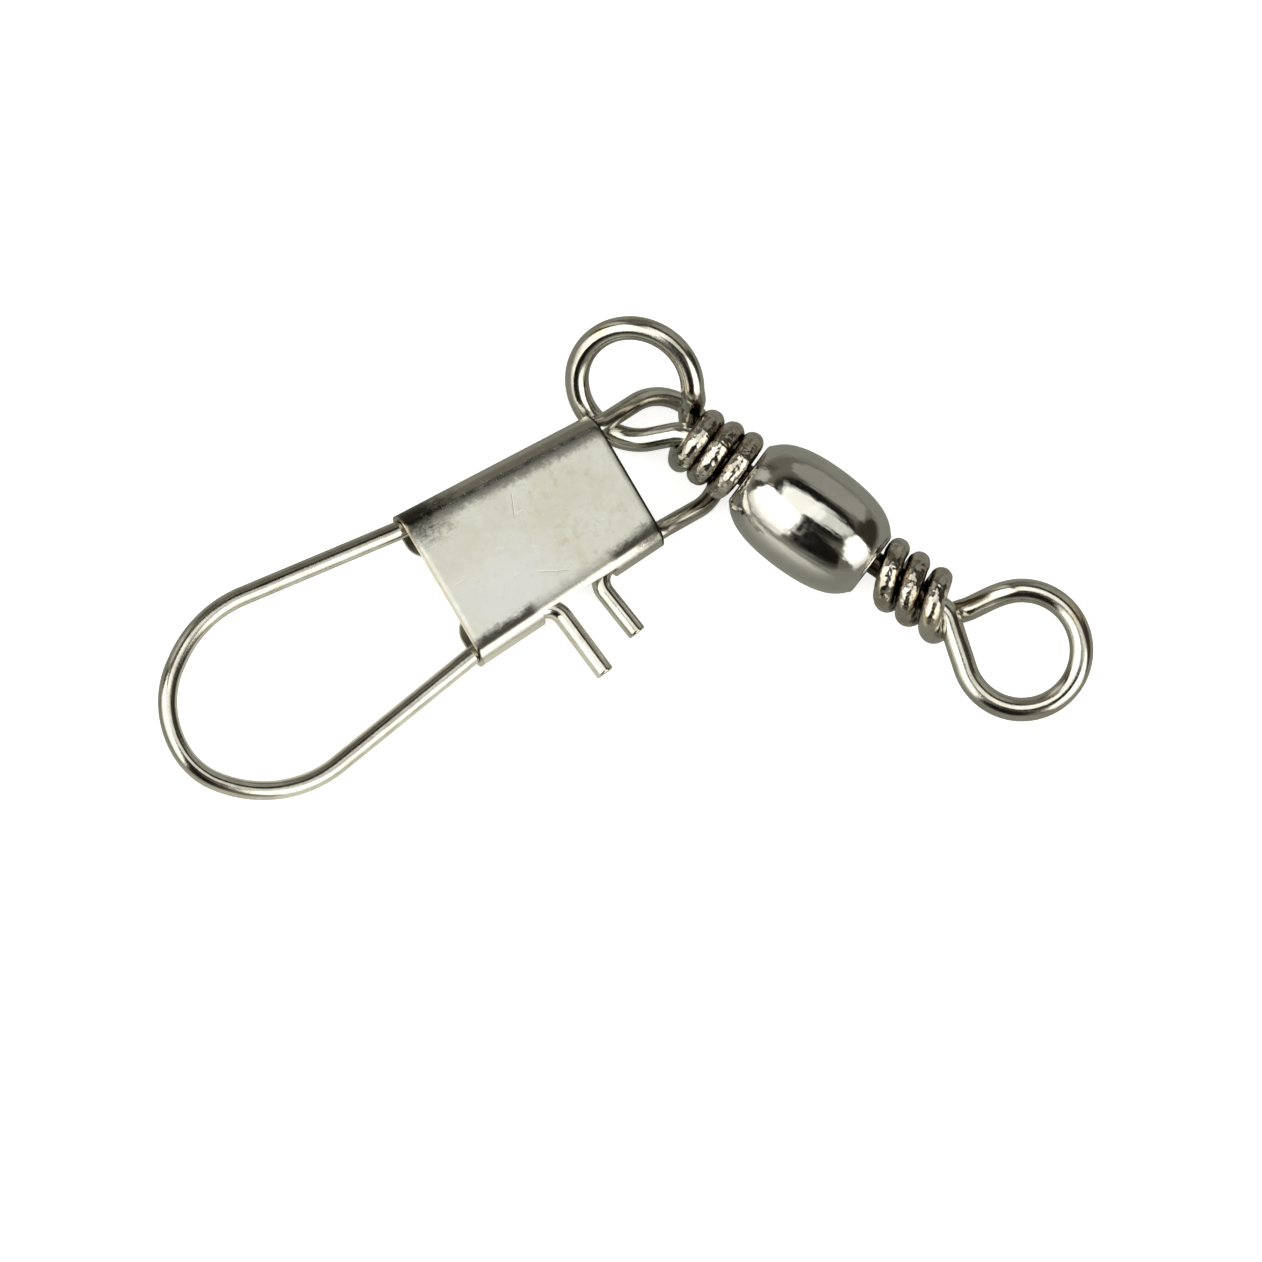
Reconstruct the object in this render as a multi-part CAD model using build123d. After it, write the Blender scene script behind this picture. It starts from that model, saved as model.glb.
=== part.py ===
from build123d import *
import math
import os

# A snap swivel as it lies on a table, in millimetres. The swivel's axis runs along X,
# Z is up, and the origin is the middle of the footprint on the table.

# Driving dimensions
eye_wire = 1.0
snap_wire = 0.8
running_gap = 0.05
barrel_diameter = 4.9
barrel_length = 6.4
ring_radius = 2.48
sheet = 0.2
sleeve_length = 9.45
sleeve_half_width_eye_end = 3.14
sleeve_half_width_hook_end = 3.61

# How the pieces lie
view_lean = 21
line_eye_spin = 0
snap_eye_spin = 25
snap_heading = 65
snap_slope = 17.3
snap_roll = 1.3
snap_behind_ring = 1.92
snap_beside_axis = -3.035
snap_above_axis = 0.385
small_loop_dip = 14.2


def rounded_path(corners, radii):
    """Straight runs joined by tangent arcs at each inner corner."""
    edges = []
    start = Vector(*corners[0])
    for index, radius in enumerate(radii, start=1):
        corner = Vector(*corners[index])
        back = (Vector(*corners[index - 1]) - corner).normalized()
        ahead = (Vector(*corners[index + 1]) - corner).normalized()
        half_opening = math.radians(back.get_angle(ahead)) / 2
        reach = radius / math.tan(half_opening)
        bisector = (back + ahead).normalized()
        centre = corner + bisector * (radius / math.sin(half_opening))
        first = corner + back * reach
        last = corner + ahead * reach
        edges.append(Line(start, first))
        edges.append(ThreePointArc(first, centre - bisector * radius, last))
        start = last
    edges.append(Line(start, Vector(*corners[-1])))
    return Wire(edges)


def bent_wire(path, diameter):
    """Round wire that follows a path."""
    section = path.location_at(0) * Circle(diameter / 2)
    return sweep(section, path=path)


# Barrel
bore_radius = eye_wire / 2 + running_gap
belly_radius = barrel_diameter / 2
end_radius = 0.543 * belly_radius
end_wall = 0.85
chamber_radius = 1.35
shoulder_x = 0.305 * barrel_length
shoulder_radius = 0.916 * belly_radius
shoulder_slope = -2 * math.atan2(belly_radius - shoulder_radius, shoulder_x)
lip_round = 0.12


def make_barrel():
    """Hollow egg-shaped body, closed round both shanks at its ends."""
    half = barrel_length / 2
    with BuildPart() as part:
        with BuildSketch(Plane.XZ):
            with BuildLine():
                Line((-half, 0), (-half, end_radius))
                TangentArc((-shoulder_x, shoulder_radius), (-half, end_radius),
                           tangent=(-math.cos(shoulder_slope), math.sin(shoulder_slope)))
                ThreePointArc((-shoulder_x, shoulder_radius), (0, belly_radius),
                              (shoulder_x, shoulder_radius))
                TangentArc((shoulder_x, shoulder_radius), (half, end_radius),
                           tangent=(math.cos(shoulder_slope), math.sin(shoulder_slope)))
                Line((half, end_radius), (half, 0))
                Line((half, 0), (-half, 0))
            make_face()
        revolve(axis=Axis.X)
        circles = part.edges().filter_by(GeomType.CIRCLE)
        ends = circles.filter_by(lambda edge: abs(edge.center().X) > half - lip_round)
        fillet(ends, lip_round)
        chamber_length = barrel_length - 2 * end_wall
        with Locations(Plane.YZ):
            Cylinder(chamber_radius, chamber_length, mode=Mode.SUBTRACT)
            Cylinder(bore_radius, barrel_length, mode=Mode.SUBTRACT)
    return part.part


# Eyes of the swivel
wrap_radius = eye_wire + 0.02
head_radius = 0.95
head_length = 0.5
head_x = barrel_length / 2 - end_wall - running_gap - head_length
head_round = 0.15
neck_bend = 0.9
coil_end_x = barrel_length / 2 + running_gap + eye_wire / 2
tail_opening = 25
tail_lag = 0.3
tail_run = 1.1
tail_drop = 0.75 * wrap_radius
line_coil_pitch = 1.1
line_coil_length = 2.85 * line_coil_pitch
line_neck = coil_end_x + line_coil_length + 0.015 * eye_wire
line_ring_x = line_neck + 1.4 * ring_radius
line_ring_offset = 0.45
snap_coil_pitch = 1.01
snap_coil_length = 2.75 * snap_coil_pitch
snap_neck = coil_end_x + snap_coil_length - 0.13 * eye_wire
snap_ring_x = snap_neck + 1.13 * ring_radius
snap_ring_offset = 0.6


def make_eye(pitch, coil_length, neck, ring_x, ring_offset):
    """Headed shank, round loop and tail wrapped back round the shank, pointing along +X."""
    ring = Vector(ring_x, ring_offset, 0)
    reach = (ring - Vector(neck, 0, 0)).length
    opening = math.asin(ring_radius / reach)
    heading = math.atan2(ring_offset, ring_x - neck)
    limb = math.sqrt(reach ** 2 - ring_radius ** 2)
    leave = Vector(neck + limb * math.cos(heading - opening), limb * math.sin(heading - opening), 0)
    first_angle = math.degrees(heading - opening) - 90
    last_angle = math.degrees(heading + opening) + 90 - tail_opening
    landing = ring + ring_radius * Vector(math.cos(math.radians(last_angle)), math.sin(math.radians(last_angle)), 0)
    across = (first_angle + last_angle) / 2
    far_side = ring + ring_radius * Vector(math.cos(math.radians(across)), math.sin(math.radians(across)), 0)

    bend_reach = neck_bend * math.tan((opening - heading) / 2)
    limb_start = Vector(neck + bend_reach * math.cos(heading - opening),
                        bend_reach * math.sin(heading - opening), 0)
    shank = Line((head_x, 0, 0), (neck - bend_reach, 0, 0))
    neck_arc = TangentArc((neck - bend_reach, 0, 0), limb_start, tangent=(1, 0, 0))
    limb_line = Line(limb_start, leave)
    ring_arc = ThreePointArc(leave, far_side, landing)

    tail_neck = neck + tail_lag
    tail_reach = math.hypot(ring_x - tail_neck, ring_offset)
    tail_heading = math.atan2(ring_offset, ring_x - tail_neck) + math.asin(ring_radius / tail_reach)
    under_neck = Vector(tail_neck + tail_run * math.cos(tail_heading), tail_run * math.sin(tail_heading),
                        -tail_drop)
    coil_plane = Plane(origin=(coil_end_x + coil_length, 0, 0), x_dir=(0, 0, -1), z_dir=(-1, 0, 0))
    wrap = coil_plane.location * Helix(pitch, coil_length, wrap_radius)
    tail = Spline(landing, under_neck, wrap @ 0, tangents=[ring_arc % 1, wrap % 0])

    loop = bent_wire(Wire([shank, neck_arc, limb_line, ring_arc, tail]), eye_wire)
    coils = bent_wire(Wire([wrap]), eye_wire)
    head = Pos(head_x + head_length / 2, 0, 0) * Rot(Y=90) * Cylinder(head_radius, head_length)
    return loop + coils + fillet(head.edges(), head_round)


# Snap
grip_radius = snap_wire / 2 + 0.01
back_curl = grip_radius + sheet
front_curl = 0.8
curl_shift = back_curl - front_curl
track_eye_end = sleeve_half_width_eye_end - back_curl
track_hook_end = sleeve_half_width_hook_end - back_curl
track_angle = math.degrees(math.atan2(track_hook_end - track_eye_end, sleeve_length))
small_loop_tip = 4.78
small_loop_half_width = 2.62
eye_end = 0.25
track_overrun = 0.1
leg_bend = 2
small_loop_bend = 2.35
big_loop_tip = 22.45
tip_upper = 1.8
tip_lower = 1.3
upper_shoulder_x = 18.87
upper_shoulder_y = 4.23
lower_shoulder_x = 19.85
lower_shoulder_y = 4.45
long_bend = 5
upper_shoulder_bend = 4.5
upper_tip_bend = 3.2
lower_bend = 4
long_prong = 6.47
short_prong = 5.72
long_prong_x = 5.38
long_prong_tip_x = 5.07
short_prong_x = 3.32
short_prong_tip_x = 2.95
long_prong_bend = 0.8
short_prong_bend = 0.85


def track(x):
    """Distance from the snap's centre line to either wire inside the sleeve."""
    return track_eye_end - x * math.tan(math.radians(track_angle))


def bend_start(prong_x, prong_tip_x, prong, bend, way):
    """Where a prong's bend leaves the straight wire, which runs on from it in +X or -X as way is 1 or -1."""
    slope = math.tan(math.radians(track_angle))
    prong_run = Vector(prong_x - prong_tip_x, track(-prong_x) - prong, 0)
    sleeve_run = Vector(way, way * slope, 0)
    half_opening = math.radians(prong_run.get_angle(sleeve_run)) / 2
    reach = bend / math.tan(half_opening)
    return -prong_x + way * reach * math.cos(math.radians(track_angle))


def make_snap_wire():
    """One spring wire: short prong, small loop, big loop, long prong."""
    tip = small_loop_tip * math.cos(math.radians(small_loop_dip))
    dip = -small_loop_tip * math.sin(math.radians(small_loop_dip))
    hook_end = -sleeve_length - track_overrun
    corners = [
        (-short_prong_tip_x, -short_prong, 0),
        (-short_prong_x, -track(-short_prong_x), 0),
        (eye_end, -track(eye_end), 0),
        (tip, -small_loop_half_width, dip),
        (tip, small_loop_half_width, dip),
        (eye_end, track(eye_end), 0),
        (hook_end, track(hook_end), 0),
        (-upper_shoulder_x, upper_shoulder_y, 0),
        (-big_loop_tip, tip_upper, 0),
        (-big_loop_tip, -tip_lower, 0),
        (-lower_shoulder_x, -lower_shoulder_y, 0),
        (hook_end, -track(hook_end), 0),
        (-long_prong_x, -track(-long_prong_x), 0),
        (-long_prong_tip_x, -long_prong, 0),
    ]
    radii = [short_prong_bend, leg_bend, small_loop_bend, small_loop_bend, leg_bend, long_bend,
             upper_shoulder_bend, upper_tip_bend, lower_bend, lower_bend, long_bend, long_prong_bend]
    return bent_wire(rounded_path(corners, radii), snap_wire)


notch_room = 0.04
notch_left = bend_start(long_prong_x, long_prong_tip_x, long_prong, long_prong_bend, -1) - notch_room
notch_right = bend_start(short_prong_x, short_prong_tip_x, short_prong, short_prong_bend, 1) + notch_room
notch_edge = sleeve_half_width_eye_end - 0.5 * sheet
window_edge = track_eye_end - grip_radius
window_top = grip_radius + 0.02
plate_reach = 3.4
lip_reach = 1.6
lip_corner = 0.9


def make_sleeve():
    """Tapered sheet plate with both long edges curled back round the wire, notched for the prongs."""
    with BuildSketch() as profile:
        with BuildLine():
            Line((-plate_reach, front_curl), (curl_shift, front_curl))
            JernArc((curl_shift, front_curl), (1, 0), front_curl, -90)
            JernArc((back_curl, 0), (0, -1), back_curl, -90)
            Line((0, -back_curl), (-lip_reach, -back_curl))
            Line((-lip_reach, -back_curl), (-lip_reach, -grip_radius))
            Line((-lip_reach, -grip_radius), (0, -grip_radius))
            JernArc((0, -grip_radius), (1, 0), grip_radius, 90)
            JernArc((grip_radius, 0), (0, 1), front_curl - sheet, 90)
            Line((curl_shift, front_curl - sheet), (-plate_reach, front_curl - sheet))
            Line((-plate_reach, front_curl - sheet), (-plate_reach, front_curl))
        make_face()
    overrun = 1
    start_x = -sleeve_length - overrun
    taper = math.radians(track_angle)
    along = Plane(origin=(start_x, track(start_x), 0), x_dir=(math.sin(taper), math.cos(taper), 0),
                  z_dir=(math.cos(taper), -math.sin(taper), 0))
    half = extrude(along * profile.sketch, sleeve_length + 2 * overrun)
    sleeve = half + mirror(half, about=Plane.XZ)
    ample = 4 * sleeve_half_width_hook_end
    sleeve &= Pos(-sleeve_length / 2, 0, 0) * Box(sleeve_length, ample, ample)
    lip_end = track_hook_end - lip_reach + lip_corner / 2
    corners = sleeve.edges().filter_by(Axis.Z)
    corners = corners.filter_by(lambda edge: edge.center().Z < 0 and abs(edge.center().Y) < lip_end)
    sleeve = fillet(corners, lip_corner)
    notch_x = (notch_left + notch_right) / 2
    notch_length = notch_right - notch_left
    edge_notch = Box(notch_length, ample, ample, align=(Align.CENTER, Align.MAX, Align.CENTER))
    edge_notch = Pos(notch_x, -notch_edge, 0) * edge_notch
    prong_window = Box(notch_length, ample, ample, align=(Align.CENTER, Align.MAX, Align.MAX))
    prong_window = Pos(notch_x, -window_edge, window_top) * prong_window
    return sleeve - edge_notch - prong_window


# Assembly
swivel_height = belly_radius
lie_of_camera_side = Pos(0, 0, swivel_height) * Rot(X=view_lean)


def pose_snap(shape):
    """Carry a piece of the snap from its own flat frame to where it lies."""
    place = Pos(snap_behind_ring - snap_ring_x, snap_beside_axis, snap_above_axis)
    return lie_of_camera_side * place * Rot(Z=snap_heading) * Rot(Y=snap_slope) * Rot(X=snap_roll) * shape


line_eye = make_eye(line_coil_pitch, line_coil_length, line_neck, line_ring_x, line_ring_offset)
snap_eye = make_eye(snap_coil_pitch, snap_coil_length, snap_neck, snap_ring_x, snap_ring_offset)
snap_eye = mirror(snap_eye, about=Plane.YZ)

pieces = {
    "barrel": Pos(0, 0, swivel_height) * make_barrel(),
    "line_eye": lie_of_camera_side * Rot(X=line_eye_spin) * line_eye,
    "snap_eye": lie_of_camera_side * Rot(X=snap_eye_spin) * snap_eye,
    "snap_wire": pose_snap(make_snap_wire()),
    "snap_sleeve": pose_snap(make_sleeve()),
}

bounds = Compound(list(pieces.values())).bounding_box()
to_origin = Pos(-(bounds.min.X + bounds.max.X) / 2, -(bounds.min.Y + bounds.max.Y) / 2, -bounds.min.Z)

os.makedirs("parts", exist_ok=True)
for name, piece in pieces.items():
    export_step(to_origin * piece, f"parts/{name}.step")
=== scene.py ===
import math

import bpy
import bmesh
from mathutils import Matrix, Vector, noise


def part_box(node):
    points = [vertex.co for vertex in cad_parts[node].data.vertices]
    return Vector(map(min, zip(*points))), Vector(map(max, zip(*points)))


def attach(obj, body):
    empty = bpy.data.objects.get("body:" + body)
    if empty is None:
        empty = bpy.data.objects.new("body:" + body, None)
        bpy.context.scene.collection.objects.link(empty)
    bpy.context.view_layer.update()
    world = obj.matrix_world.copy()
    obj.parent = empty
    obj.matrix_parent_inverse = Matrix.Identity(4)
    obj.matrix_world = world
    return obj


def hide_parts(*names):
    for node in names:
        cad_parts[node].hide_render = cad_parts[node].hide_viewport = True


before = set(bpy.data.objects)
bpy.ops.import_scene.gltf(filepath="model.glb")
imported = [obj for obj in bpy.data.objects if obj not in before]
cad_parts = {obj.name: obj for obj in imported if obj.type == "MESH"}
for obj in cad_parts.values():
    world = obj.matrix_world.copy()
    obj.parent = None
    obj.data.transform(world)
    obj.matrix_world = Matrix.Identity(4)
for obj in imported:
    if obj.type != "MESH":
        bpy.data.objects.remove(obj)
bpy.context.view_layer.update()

MM = 0.001

# Driving sizes in millimetres, as in the solids
EYE_WIRE = 1.0
SNAP_WIRE = 0.8
BARREL_LENGTH = 6.4
BELLY_RADIUS = 2.45
END_RADIUS = 1.33
RING_RADIUS = 2.48
SLEEVE_LENGTH = 9.45
HALF_WIDTH_EYE_END = 3.14
HALF_WIDTH_HOOK_END = 3.61
SHEET = 0.2

# How the pieces lie, in degrees and millimetres
VIEW_LEAN = 21
BARREL_ASKEW = -2.5
SNAP_EYE_SPIN = 25
SNAP_RING_X = 9.2
SNAP_BEHIND_RING = 1.92
SNAP_BESIDE_AXIS = -3.035
SNAP_ABOVE_AXIS = 0.385
SNAP_HEADING = 65
SNAP_SLOPE = 17.3
SNAP_ROLL = 1.3
SMALL_LOOP_DIP = 14.2

low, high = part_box("barrel")
barrel_centre = (Vector(low) + Vector(high)) / 2 / MM


def turn(degrees, axis):
    return Matrix.Rotation(math.radians(degrees), 4, axis)


camera_side = Matrix.Translation(barrel_centre) @ turn(VIEW_LEAN, "X")
# The barrel hangs a little askew on the two shanks, as its loose bores let it
barrel_place = camera_side @ turn(BARREL_ASKEW, "Z")
line_eye_place = camera_side
snap_eye_place = camera_side @ turn(SNAP_EYE_SPIN, "X") @ Matrix.Diagonal((-1, 1, 1, 1))
to_snap = Matrix.Translation((SNAP_BEHIND_RING - SNAP_RING_X, SNAP_BESIDE_AXIS, SNAP_ABOVE_AXIS))
snap_place = camera_side @ to_snap @ turn(SNAP_HEADING, "Z") @ turn(SNAP_SLOPE, "Y") @ turn(SNAP_ROLL, "X")


# Path helpers, in millimetres
STRAIGHT_STEP = 0.12
CURVE_STEP = 0.06
SAME_POINT = 0.01


def straight(a, b):
    a, b = Vector(a), Vector(b)
    count = max(1, int((b - a).length / STRAIGHT_STEP))
    return [a.lerp(b, i / count) for i in range(count + 1)]


def arc_about(centre, start, normal, sweep):
    """Points on an arc that starts at start and turns by sweep degrees about centre."""
    centre, start = Vector(centre), Vector(start)
    arm = start - centre
    count = max(4, int(math.radians(abs(sweep)) * arm.length / CURVE_STEP))
    points = []
    for i in range(count + 1):
        points.append(centre + Matrix.Rotation(math.radians(sweep * i / count), 3, normal) @ arm)
    return points


def hermite(p0, t0, p1, t1):
    """Smooth run from p0 to p1 with the end tangents t0 and t1."""
    count = max(6, int((p1 - p0).length / CURVE_STEP))
    points = []
    for i in range(count + 1):
        s = i / count
        points.append(
            (2 * s**3 - 3 * s**2 + 1) * p0
            + (s**3 - 2 * s**2 + s) * t0
            + (-2 * s**3 + 3 * s**2) * p1
            + (s**3 - s**2) * t1
        )
    return points


def joined(*runs):
    """One list of points, without the doubled ones where runs meet."""
    points = []
    for run in runs:
        for point in run:
            if not points or (point - points[-1]).length > SAME_POINT:
                points.append(point)
    return points


def rounded_path(corners, radii):
    """Straight runs joined by tangent arcs at each inner corner."""
    runs = []
    start = Vector(corners[0])
    for index, radius in enumerate(radii, start=1):
        corner = Vector(corners[index])
        back = (Vector(corners[index - 1]) - corner).normalized()
        ahead = (Vector(corners[index + 1]) - corner).normalized()
        half_opening = back.angle(ahead) / 2
        reach = radius / math.tan(half_opening)
        bisector = (back + ahead).normalized()
        centre = corner + bisector * (radius / math.sin(half_opening))
        first = corner + back * reach
        last = corner + ahead * reach
        normal = (first - centre).cross(last - centre).normalized()
        sweep = math.degrees((first - centre).angle(last - centre))
        runs.append(straight(start, first))
        runs.append(arc_about(centre, first, normal, sweep))
        start = last
    runs.append(straight(start, corners[-1]))
    return joined(*runs)


# Mesh helpers
def finish_mesh(name, bm, place, smooth=True):
    """Turns a bmesh in millimetres into an object in metres."""
    bmesh.ops.transform(bm, matrix=place, verts=bm.verts)
    bmesh.ops.scale(bm, vec=(MM, MM, MM), verts=bm.verts)
    bmesh.ops.recalc_face_normals(bm, faces=bm.faces)
    mesh = bpy.data.meshes.new(name)
    bm.to_mesh(mesh)
    bm.free()
    mesh.polygons.foreach_set("use_smooth", [smooth] * len(mesh.polygons))
    obj = bpy.data.objects.new(name, mesh)
    bpy.context.scene.collection.objects.link(obj)
    return obj


def skin(bm, uv_layer, rings, lengths):
    """Joins rings of vertices into a closed skin. The UV map holds (turn round it, millimetres along it)."""
    around = len(rings[0])
    for i in range(len(rings) - 1):
        for k in range(around):
            m = (k + 1) % around
            face = bm.faces.new((rings[i][k], rings[i][m], rings[i + 1][m], rings[i + 1][k]))
            corners = ((k, i), (k + 1, i), (k + 1, i + 1), (k, i + 1))
            for loop, (turned, row) in zip(face.loops, corners):
                loop[uv_layer].uv = (turned / around, lengths[row])
    for ring in (rings[0], rings[-1]):
        bm.faces.new(ring)


def clamped(value):
    return min(1, max(0, value))


# Wire
AROUND_WIRE = 40
CUT_BEVEL = 0.07
# Rows of a cut's edge: how far in from the cut, and how much smaller in radius, as shares of the bevel
CUT_ROWS = ((0, 1), (0.3, 0.3), (1, 0))
# The wrapping tool's grip begins this many points into the wrap, and rises to full over this many more
GRIP_DELAY = 24
GRIP_RISE = 36
SQUEEZE = 0.06
# Depth as a share of the wire's radius, and how close together they are, per millimetre
HANDLING_WAVES = (0.006, 0.8)
TOOL_DENTS = ((0.06, 1.5), (0.03, 4))
# Length over which the painted shadow on the shank fades out
SHANK_SHADOW_FADE = 0.5


def wire_stations(points, pressed_from):
    """For each point its place, tangent, side direction, millimetres along the wire, and grip of the tool."""
    final = len(points) - 1
    tangents = [(points[min(i + 1, final)] - points[max(i - 1, 0)]).normalized() for i in range(final + 1)]
    side = tangents[0].orthogonal().normalized()
    along = 0
    stations = []
    for i, (point, tangent) in enumerate(zip(points, tangents)):
        if i:
            along += (point - points[i - 1]).length
            side = (side - tangent * side.dot(tangent)).normalized()
        grip = 0 if pressed_from is None else clamped((i - pressed_from - GRIP_DELAY) / GRIP_RISE)
        stations.append((point, tangent, side.copy(), along, grip))
    return stations


def with_soft_cuts(stations, radius):
    """The stations with their radius, between rows that break the edge of each cut end."""
    length = stations[-1][3]
    cuts = []
    for (point, tangent, side, along, grip), way in ((stations[0], 1), (stations[-1], -1)):
        rows = []
        for inward, trim in CUT_ROWS:
            shifted = point + tangent * CUT_BEVEL * inward * way
            rows.append((shifted, tangent, side, along, grip, radius - CUT_BEVEL * trim))
        cuts.append(rows)
    first_cut, last_cut = cuts
    middle = [(*station, radius) for station in stations if CUT_BEVEL < station[3] < length - CUT_BEVEL]
    return first_cut + middle + last_cut[::-1]


def dented(spot, grip):
    """Change of the wire's radius at a spot, as a share: slight waves, and dents under the tool's grip."""
    wave_depth, wave_scale = HANDLING_WAVES
    dents = sum(depth * noise.noise(spot * scale) for depth, scale in TOOL_DENTS)
    return wave_depth * noise.noise(spot * wave_scale) + grip * dents


def tube(name, points, radius, place, pressed_from=None, shank=0.0):
    """Round wire along points. From the point numbered pressed_from on, it is squeezed along X against its
    neighbours and dented by the tool. A colour attribute holds how far a point faces its neighbour strand,
    where shade and a warm reflection are painted, how far it is pressed, and how far it lies in the painted
    shadow on the shank, which ends at shank millimetres."""
    bm = bmesh.new()
    uv_layer = bm.loops.layers.uv.new("wire")
    wear_and_shade_layer = bm.verts.layers.float_color.new("wear_and_shade")
    rows = with_soft_cuts(wire_stations(points, pressed_from), radius)
    rings = []
    for point, tangent, side, along, grip, row_radius in rows:
        other = tangent.cross(side)
        # How far the point lies in the painted shadow on the shank
        in_shank_shadow = clamped((shank - along) / SHANK_SHADOW_FADE)
        ring = []
        for k in range(AROUND_WIRE):
            angle = 2 * math.pi * k / AROUND_WIRE
            arm = (side * math.cos(angle) + other * math.sin(angle)) * row_radius
            change = dented(point + arm, grip)
            # How far the point faces its neighbour strand, where the material paints shade and a warm
            # reflection
            facing = abs(arm.x) / arm.length * grip
            arm *= 1 + change
            arm.x *= 1 - SQUEEZE * grip
            vert = bm.verts.new(point + arm)
            vert[wear_and_shade_layer] = (facing, grip, in_shank_shadow, 1)
            ring.append(vert)
        rings.append(ring)
    skin(bm, uv_layer, rings, [row[3] for row in rows])
    return finish_mesh(name, bm, place)


# Barrel
# Wider than in the solids, so that the barrel clears the shanks as it hangs askew
BORE_RADIUS = 0.64
BORE_DEPTH = 0.5
# Steps in from the end face and out from the bore, over the bore's rounded edge
BORE_EDGE = ((0.06, 0), (0.015, 0.02), (0, 0.07))
END_LIP = 0.1
FLAT_END_TRIM = 0.12
LIP_STEPS = 6
BODY_STEPS = 90
AROUND_BARREL = 192
# Powers of the distance from the belly, and how much each takes off the radius: little over the belly, and
# ever more towards the ends
BELLY_FALL = ((2, 0.045), (4, 0.00285), (6, 0.00021), (12, 1.05e-7))


def barrel_radius(x):
    """Outer radius of the egg-shaped barrel at x."""
    return BELLY_RADIUS - sum(factor * x**power for power, factor in BELLY_FALL)


def barrel_profile():
    """Points (x, radius) from inside one bore, over the egg, to inside the other."""
    half = BARREL_LENGTH / 2
    start = half - END_LIP
    foot = END_RADIUS - END_LIP
    lift = barrel_radius(start) - foot
    near_end = [(-half + BORE_DEPTH, BORE_RADIUS)]
    near_end += [(-half + inward, BORE_RADIUS + outward) for inward, outward in BORE_EDGE]
    near_end.append((-half, END_RADIUS - FLAT_END_TRIM))
    for i in range(1, LIP_STEPS + 1):
        angle = math.pi / 2 * i / LIP_STEPS
        near_end.append((-start - END_LIP * math.cos(angle), foot + lift * math.sin(angle)))
    body = []
    for i in range(1, BODY_STEPS):
        x = -start * math.cos(math.pi * i / BODY_STEPS)
        body.append((x, barrel_radius(x)))
    return near_end + body + [(-x, r) for x, r in reversed(near_end)]


def make_barrel():
    """Egg-shaped body with a short blind bore at each end, in which the shanks end."""
    bm = bmesh.new()
    uv_layer = bm.loops.layers.uv.new("wire")
    profile = barrel_profile()
    rings = []
    for x, r in profile:
        ring = []
        for k in range(AROUND_BARREL):
            angle = 2 * math.pi * k / AROUND_BARREL
            ring.append(bm.verts.new((x, r * math.cos(angle), r * math.sin(angle))))
        rings.append(ring)
    skin(bm, uv_layer, rings, [x for x, r in profile])
    return finish_mesh("barrel_shell", bm, barrel_place)


# Eyes
WRAP_RADIUS = EYE_WIRE + 0.02
CLEAR_OF_BARREL = 0.06
SHANK_IN_BARREL = 0.45
NECK_BEND = 0.9
# The tail leaves the ring this many degrees before it heads straight for the neck
TAIL_OPENING = 16
TAIL_LAG = 0.3
TAIL_RUN = 0.8
TAIL_DROP = 0.85 * WRAP_RADIUS
TAIL_SLOPE = 0.25
# How tightly the tail turns into the wrap, as a share of its straight run
TAIL_PULL = 0.8
STEPS_PER_TURN = 96
# How soon the first strand's stand-off fades along the wrap, and how late the last strand is drawn in
SPREAD_POWER = 4
CROWD_POWER = 6
# How far a loose strand moves aside, as a share of how much wider it is
OFF_AXIS = 0.8

# Sizes of each eye in its own frame, where X runs from the middle of the barrel
LINE_EYE_SIZES = {
    "coil_end": 3.74,
    "pitch": 1.06,
    "turns": 2.85,
    "neck": 6.9,
    "ring_x": 10.372,
    "ring_offset": 0.45,
    "swing": 0.2,
    "swing_angle": 135,
    "spread": 0.28,
}
SNAP_EYE_SIZES = {
    "coil_end": 3.6,
    "pitch": 0.93,
    "turns": 2.87,
    "neck": 6.4,
    "ring_x": SNAP_RING_X,
    "ring_offset": 0.6,
    "swing": -0.13,
    "swing_angle": 205,
    "looseness": 0.13,
    "crowd": 0.25,
}
# Where the painted shadow on each shank ends, in millimetres from the shank's end in the barrel
LINE_SHANK_SHADOW = 3.4
SNAP_SHANK_SHADOW = 2.2


def coil_points(coil_end, pitch, turns, swing, swing_angle, looseness=0, spread=0, crowd=0):
    """Centre line of the wrap, from its strand at the eye to its strand at the barrel. The strands run
    steepest across at swing_angle, by swing, and widen by looseness to the last. The first stands off by
    spread, and the last is drawn towards the barrel by crowd, almost to its end face."""
    nearest = (BARREL_LENGTH + EYE_WIRE) / 2 + CLEAR_OF_BARREL
    count = int(turns * STEPS_PER_TURN)
    coil = []
    for i in range(count + 1):
        share = i / count
        turned = turns * share
        angle = 2 * math.pi * turned
        x = coil_end + pitch * (turns - turned) - swing * math.sin(angle - math.radians(swing_angle))
        x += spread * (1 - share) ** SPREAD_POWER - crowd * share**CROWD_POWER
        loose = looseness * share
        y = OFF_AXIS * loose - (WRAP_RADIUS + loose) * math.sin(angle)
        z = -(WRAP_RADIUS + loose) * math.cos(angle)
        coil.append(Vector((max(x, nearest), y, z)))
    return coil


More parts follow.
